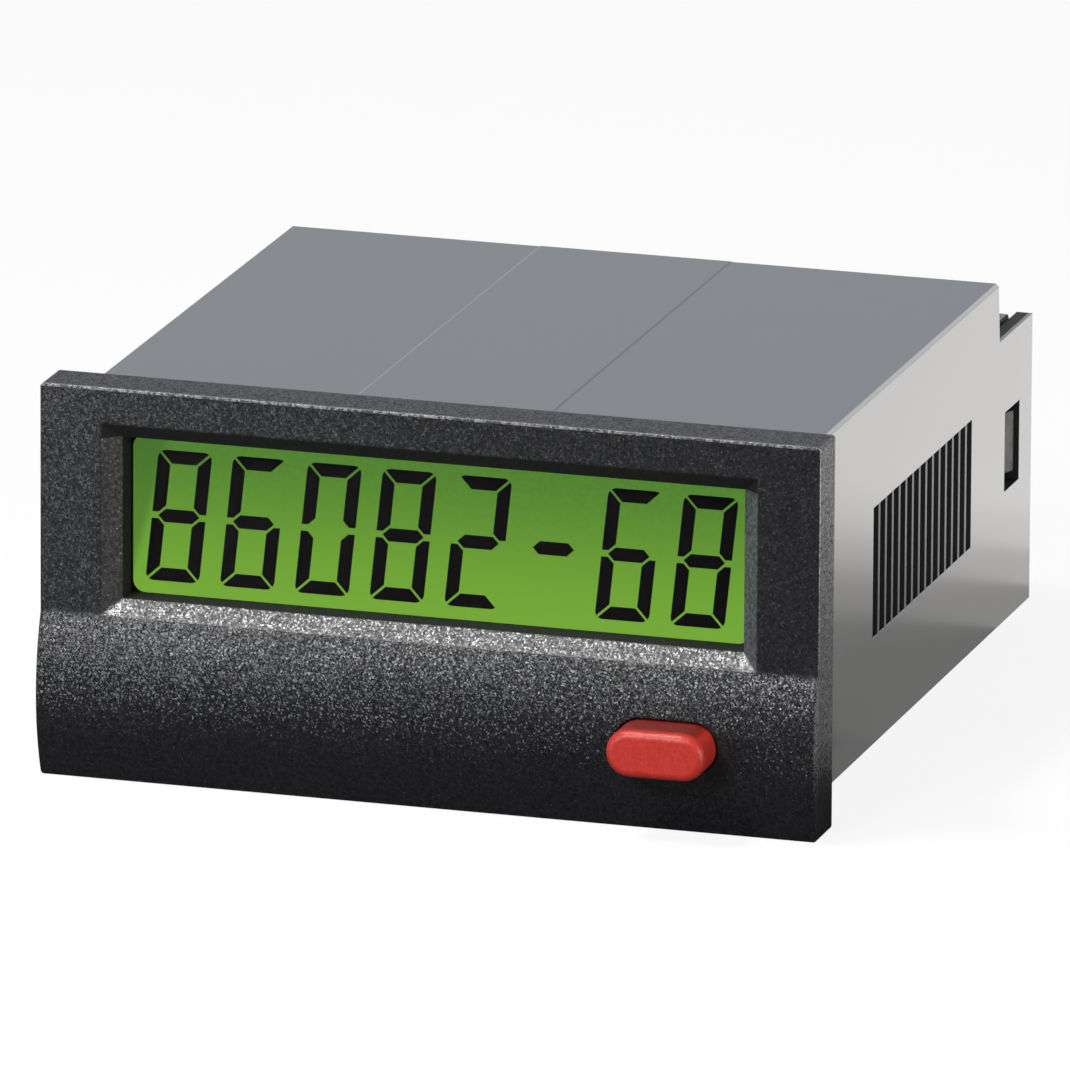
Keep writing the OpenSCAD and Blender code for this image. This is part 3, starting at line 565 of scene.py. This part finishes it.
def resistor_finish():
    """Sky-blue lacquer with four colour bands; the last one is metallic-looking gold."""
    low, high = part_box("input_resistors")
    length = high.y - low.y
    lacquer = Finish("resistor_lacquer", (0.22, 0.4, 0.52), 0.3)
    y = lacquer.axis("Y")
    colour = lacquer.blend(lacquer.noise(600, 3.0), (0.2, 0.37, 0.48), (0.26, 0.44, 0.55))
    bands = ((0.1, (0.09, 0.03, 0.012)), (0.32, (0.006, 0.006, 0.006)),
             (0.46, (0.5, 0.1, 0.01)), (0.9, (0.45, 0.3, 0.06)))
    for share, paint in bands:
        middle = low.y + share * length
        away = lacquer.math("ABSOLUTE", lacquer.math("SUBTRACT", y, middle))
        colour = lacquer.blend(lacquer.above(BAND_HALF, away), colour, paint)
    lacquer.set("Base Color", colour)
    lacquer.bump(lacquer.noise(1500, 2.0), 0.03 * MM)
    lacquer.dress("input_resistors")


def capacitor_finish():
    """Dark sleeve with a pale stripe that marks the negative side, and a bare aluminium top."""
    low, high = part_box("filter_capacitors")
    can = Finish("capacitor_sleeve", (0.012, 0.016, 0.04), 0.35)
    front = can.above(low.y + STRIPE_DEPTH, can.axis("Y"))
    top = can.above(can.axis("Z"), high.z - CAN_TOP)
    sleeve = can.blend(can.noise(500, 3.0), (0.01, 0.014, 0.034), (0.018, 0.022, 0.05))
    sleeve = can.blend(front, sleeve, (0.45, 0.47, 0.5))
    can.set("Base Color", can.blend(top, sleeve, (0.72, 0.73, 0.75)))
    can.set("Metallic", top)
    can.set("Roughness", can.step(can.noise(1800, 2.0), *MIDDLE, 0.28, 0.4))
    can.dress("filter_capacitors")


def battery_finish():
    """Heat-shrunk sleeve over a nickel-plated can, whose ends stay bare."""
    low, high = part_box("battery")
    middle = (low.x + high.x) / 2
    cell = Finish("cell_sleeve", (0.03, 0.07, 0.25), 0.38)
    bare = cell.above(cell.reach("X", middle - CELL_SHIFT), (high.x - low.x) / 2 - CELL_END)
    sleeve = cell.blend(cell.noise(240, 3.0, 0.6, (0.2, 1, 1)), (0.02, 0.05, 0.19), (0.04, 0.09, 0.3))
    cell.set("Base Color", cell.blend(bare, sleeve, (0.62, 0.61, 0.58)))
    cell.set("Metallic", bare)
    cell.set("Roughness", cell.mix(bare, 0.38, 0.25))
    cell.bump(cell.noise(700, 2.0, 0.5, (0.15, 1, 1)), 0.05 * MM)
    cell.dress("battery")


def lamp_finish():
    """Backlight lamps: a white body round a yellow-green lens."""
    low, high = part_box("backlight_leds")
    lens = Finish("lamp_resin", (0.5, 0.7, 0.25), 0.25)
    lens_half = (high.x - low.x) / 2 - LAMP_WALL
    inner = lens.above(lens_half, lens.reach("X", (low.x + high.x) / 2))
    resin = lens.blend(lens.noise(1500), (0.4, 0.66, 0.16), (0.5, 0.76, 0.24))
    lens.set("Base Color", lens.blend(inner, (0.78, 0.78, 0.74), resin))
    lens.dress("backlight_leds")


def inner_finishes():
    """Pieces that show through the vents, the rear cover's holes, or only when it is taken apart."""
    moulded("black_plastic", (0.016, 0.016, 0.017), 0.3, 0.5, 0.01 * MM, "switch_body", "board_header")
    moulded("terminal_plastic", (0.03, 0.032, 0.032), 0.2, 0.45, 0.012 * MM, "terminal_block")
    moulded("cover_plastic", (0.045, 0.045, 0.046), 0.12, 0.27, 0.004 * MM, "rear_cover",
            edge=0.12 * MM)
    moulded("white_plastic", (0.78, 0.78, 0.74), 0.03, 0.42, 0.01 * MM,
            "display_frame", "input_optocoupler")
    moulded("ivory_plastic", (0.72, 0.68, 0.58), 0.04, 0.4, 0.008 * MM, "switch_plunger")
    moulded("white_foil", (0.86, 0.86, 0.86), 0.02, 0.3, 0.006 * MM, "reflector_foil")
    metal("steel_can", (0.62, 0.62, 0.63), 0.28, (0.05, 1, 1), "quartz_crystal")
    metal("gold_plate", (0.83, 0.62, 0.28), 0.3, (1, 1, 0.2), "header_pins")
    metal("nickel_strip", (0.66, 0.64, 0.6), 0.3, (1, 1, 0.06), "battery_tabs")
    metal("brass", (0.68, 0.5, 0.24), 0.35, (1, 0.1, 1), "wire_clamps")
    metal("zinc_plate", (0.66, 0.68, 0.7), 0.3, (1, 1, 0.3), "terminal_screws")
    metal("tinned_brass", (0.7, 0.68, 0.6), 0.38, (1, 0.1, 1), "terminal_pins")
    board_finish("display_board", 420.0)
    board_finish("main_board", 330.0)
    chip_finish()
    resistor_finish()
    capacitor_finish()
    battery_finish()
    lamp_finish()


def studio_world():
    """A pale wall behind the part under a darker ceiling; the camera sees it white."""
    world = bpy.data.worlds.new("studio")
    bpy.context.scene.world = world
    world.use_nodes = True
    tree = world.node_tree
    background = tree.nodes["Background"]
    split = tree.nodes.new("ShaderNodeSeparateXYZ")
    tree.links.new(tree.nodes.new("ShaderNodeTexCoord").outputs["Generated"], split.inputs[0])

    def ramp(axis, start, end, low, high):
        node = tree.nodes.new("ShaderNodeMapRange")
        node.interpolation_type = "SMOOTHSTEP"
        tree.links.new(split.outputs[axis], node.inputs[0])
        for i, value in enumerate((start, end, low, high)):
            node.inputs[i + 1].default_value = value
        return node.outputs[0]

    def combine(operation, a, b):
        node = tree.nodes.new("ShaderNodeMath")
        node.operation = operation
        for i, value in enumerate((a, b)):
            if isinstance(value, float):
                node.inputs[i].default_value = value
            else:
                tree.links.new(value, node.inputs[i])
        return node.outputs[0]

    behind = ramp("Y", *WALL_FADE, 0.0, WALL_LIGHT)
    below_ceiling = ramp("Z", *CEILING_FADE, 0.0, 1.0)
    wall = combine("MULTIPLY", behind, below_ceiling)
    path = tree.nodes.new("ShaderNodeLightPath").outputs
    seen = path["Is Camera Ray"]
    mirrored = combine("MAXIMUM", path["Is Glossy Ray"], path["Is Transmission Ray"])
    mirrored = combine("MULTIPLY", mirrored, combine("MULTIPLY", wall, 1.0 / WALL_LIGHT))
    strength = combine("MAXIMUM", combine("ADD", wall, ROOM_LIGHT), combine("MAXIMUM", seen, mirrored))
    tree.links.new(strength, background.inputs["Strength"])
    tint = tree.nodes.new("ShaderNodeMix")
    tint.data_type = "RGBA"
    tree.links.new(seen, tint.inputs["Factor"])
    tint.inputs[6].default_value = WALL_TINT
    tint.inputs[7].default_value = (1.0, 1.0, 1.0, 1.0)
    tree.links.new(tint.outputs[2], background.inputs["Color"])


def area_light(name, place, target, size, watts, colour=(1, 1, 1)):
    """A rectangular lamp that shines from its place to a target and isn't seen itself."""
    data = bpy.data.lights.new(name, "AREA")
    data.shape = "RECTANGLE"
    data.size, data.size_y = size
    data.energy = watts
    data.color = colour
    lamp = bpy.data.objects.new(name, data)
    bpy.context.scene.collection.objects.link(lamp)
    lamp.location = place
    lamp.rotation_euler = (Vector(target) - Vector(place)).to_track_quat("-Z", "Y").to_euler()
    lamp.visible_camera = False
    return lamp


def lamps():
    """Lamps for the lower bevel, the left bars, the band, the right side and the rear."""
    area_light("overhead", place=(-0.097, -0.078, 0.288), target=(0.0, -0.003, 0),
               size=(0.06, 0.04), watts=0.66)
    area_light("left", place=(-0.085, -0.11, 0.012), target=(-0.01, 0, 0),
               size=(0.06, 0.04), watts=0.055, colour=COOL)
    area_light("front", place=(-0.12, -0.4, 0.27), target=(0, 0, 0),
               size=(0.16, 0.1), watts=1.28)
    area_light("right", place=(0.36, -0.16, 0.06), target=(0, 0, 0),
               size=(0.08, 0.16), watts=0.75, colour=WARM)
    area_light("back_right", place=(0.32, 0.8, 0.3), target=(0, 0.02, 0),
               size=(0.4, 0.6), watts=1.6)

    # A lit table behind the part and to its right, brighter further back, which the sleeve mirrors
    def strip(left, right, start, end, radiance):
        place = Vector(((left + right) / 2, (start + end) / 2, FLOOR_Z + GLOW_HEIGHT))
        size = (right - left, end - start)
        watts = GLOW_WATTS * size[0] * size[1] * radiance
        glow = area_light("table_glow", place, place, size, watts, WARM)
        glow.rotation_euler = (math.pi, 0.0, 0.0)

    half = TABLE_GLOW_W / 2
    for start, end, radiance in zip(TABLE_GLOW_Y, TABLE_GLOW_Y[1:], TABLE_GLOW):
        strip(TABLE_GLOW_X - half, TABLE_GLOW_X + half, start, end, radiance)
    for left, right, start, end in NEAR_GLOW:
        strip(left * MM, right * MM, start * MM, end * MM, NEAR_RADIANCE)


def floor():
    """A dark floor that the camera sees white, with the part's shadow on it."""
    bpy.ops.mesh.primitive_plane_add(size=FLOOR_SIZE, location=(0, 0, FLOOR_Z - FLOOR_GAP))
    plane = bpy.context.object
    plane.name = "floor"
    material = bpy.data.materials.new("floor")
    material.use_nodes = True
    tree = material.node_tree
    tree.nodes.clear()
    out = tree.nodes.new("ShaderNodeOutputMaterial")
    diffuse = tree.nodes.new("ShaderNodeBsdfDiffuse")
    shade = tree.nodes.new("ShaderNodeMix")
    shade.data_type = "RGBA"
    shade.inputs[6].default_value = FLOOR_SHADE
    shade.inputs[7].default_value = FLOOR_PALE
    tree.links.new(shade.outputs[2], diffuse.inputs["Color"])
    glow = tree.nodes.new("ShaderNodeEmission")
    glow.inputs["Color"].default_value = (1, 1, 1, 1)
    glow.inputs["Strength"].default_value = 1.0
    path = tree.nodes.new("ShaderNodeLightPath")
    mix = tree.nodes.new("ShaderNodeMixShader")
    share = tree.nodes.new("ShaderNodeMath")
    share.operation = "MULTIPLY"
    share.inputs[1].default_value = FLOOR_WHITE
    tree.links.new(path.outputs["Is Camera Ray"], share.inputs[0])
    tree.links.new(path.outputs["Is Camera Ray"], shade.inputs["Factor"])
    tree.links.new(share.outputs[0], mix.inputs[0])
    tree.links.new(diffuse.outputs[0], mix.inputs[1])
    tree.links.new(glow.outputs[0], mix.inputs[2])
    tree.links.new(mix.outputs[0], out.inputs["Surface"])
    plane.data.materials.append(material)


def camera():
    """The photograph's camera, with a long lens."""
    forward = Vector((-math.sin(CAMERA_YAW) * math.cos(CAMERA_PITCH),
                      math.cos(CAMERA_YAW) * math.cos(CAMERA_PITCH),
                      -math.sin(CAMERA_PITCH)))
    level = Vector((math.cos(CAMERA_YAW), math.sin(CAMERA_YAW), 0.0))
    upward = level.cross(forward)
    right = math.cos(CAMERA_ROLL) * level + math.sin(CAMERA_ROLL) * upward
    up = math.cos(CAMERA_ROLL) * upward - math.sin(CAMERA_ROLL) * level
    data = bpy.data.cameras.new("camera")
    data.lens = CAMERA_LENS
    data.sensor_width = CAMERA_SENSOR
    data.clip_start = 0.05
    data.clip_end = 20.0
    eye = bpy.data.objects.new("camera", data)
    bpy.context.scene.collection.objects.link(eye)
    turn = Matrix((right, up, -forward)).transposed().to_4x4()
    eye.matrix_world = Matrix.Translation(CAMERA_AIM - forward * CAMERA_DISTANCE) @ turn
    bpy.context.scene.camera = eye


camera()
housing_finish()
film_finish()
display_finishes()
button_finish()
inner_finishes()
studio_world()
lamps()
floor()
bpy.context.scene.view_settings.view_transform = "Standard"
